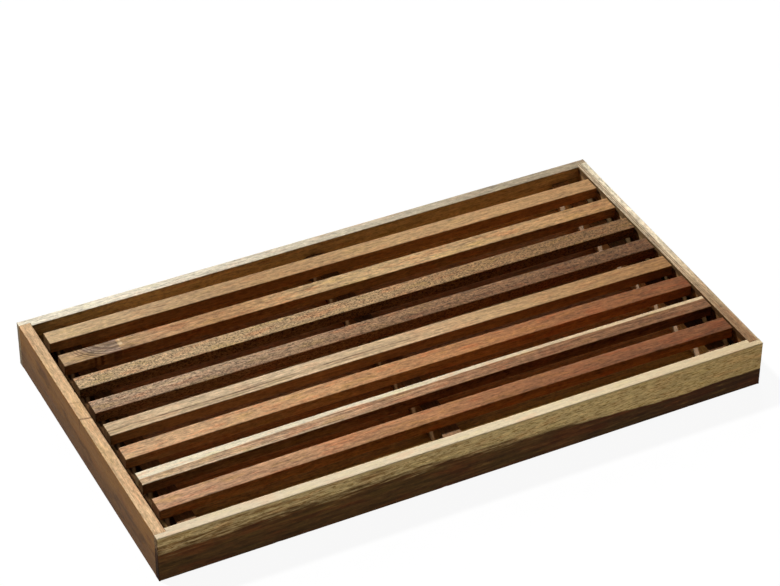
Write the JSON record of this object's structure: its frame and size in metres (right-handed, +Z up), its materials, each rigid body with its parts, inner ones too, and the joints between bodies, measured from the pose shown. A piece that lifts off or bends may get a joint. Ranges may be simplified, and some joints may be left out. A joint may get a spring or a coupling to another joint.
{
  "type": "bread board with crumb catcher",
  "caption": "Shallow wooden crumb tray with a lift-out slatted grid for cutting bread; crumbs fall through the slats onto the tray floor.",
  "frame": {"origin": "centre of the footprint, on the surface that the tray stands on", "axes": "+X along the length, parallel to the slats, +Y from the front board to the back board, +Z up out of the tray"},
  "size_m": [0.43, 0.2374, 0.0344],
  "materials": {
    "acacia_cream": "oiled satin",
    "acacia_golden": "oiled satin",
    "acacia_orange": "oiled satin",
    "acacia_olive": "oiled satin",
    "acacia_mauve": "oiled satin",
    "acacia_pink": "oiled satin",
    "acacia_red": "oiled satin",
    "acacia_floor": "oiled satin",
    "acacia_batten": "oiled satin",
    "brad_steel": "bright wire"
  },
  "bodies": {
    "tray": {"front_board": "acacia_olive", "back_board": "acacia_cream", "left_end_board": "acacia_golden", "right_end_board": "acacia_cream", "tray_floor": "acacia_floor"},
    "grid": {"slat_1": "acacia_golden", "slat_2": "acacia_orange", "slat_3": "acacia_olive", "slat_4": "acacia_mauve", "slat_5": "acacia_golden", "slat_6": "acacia_orange", "slat_7": "acacia_pink", "slat_8": "acacia_red", "batten_left": "acacia_batten", "batten_middle": "acacia_batten", "batten_right": "acacia_batten", "brads_left": "brad_steel", "brads_middle": "brad_steel", "brads_right": "brad_steel"}
  },
  "joints": [
    {"name": "grid_lift", "type": "slide", "parent": "tray", "child": "grid", "axis": [0, 0, 1], "range_m": [0, 0.06]}
  ]
}
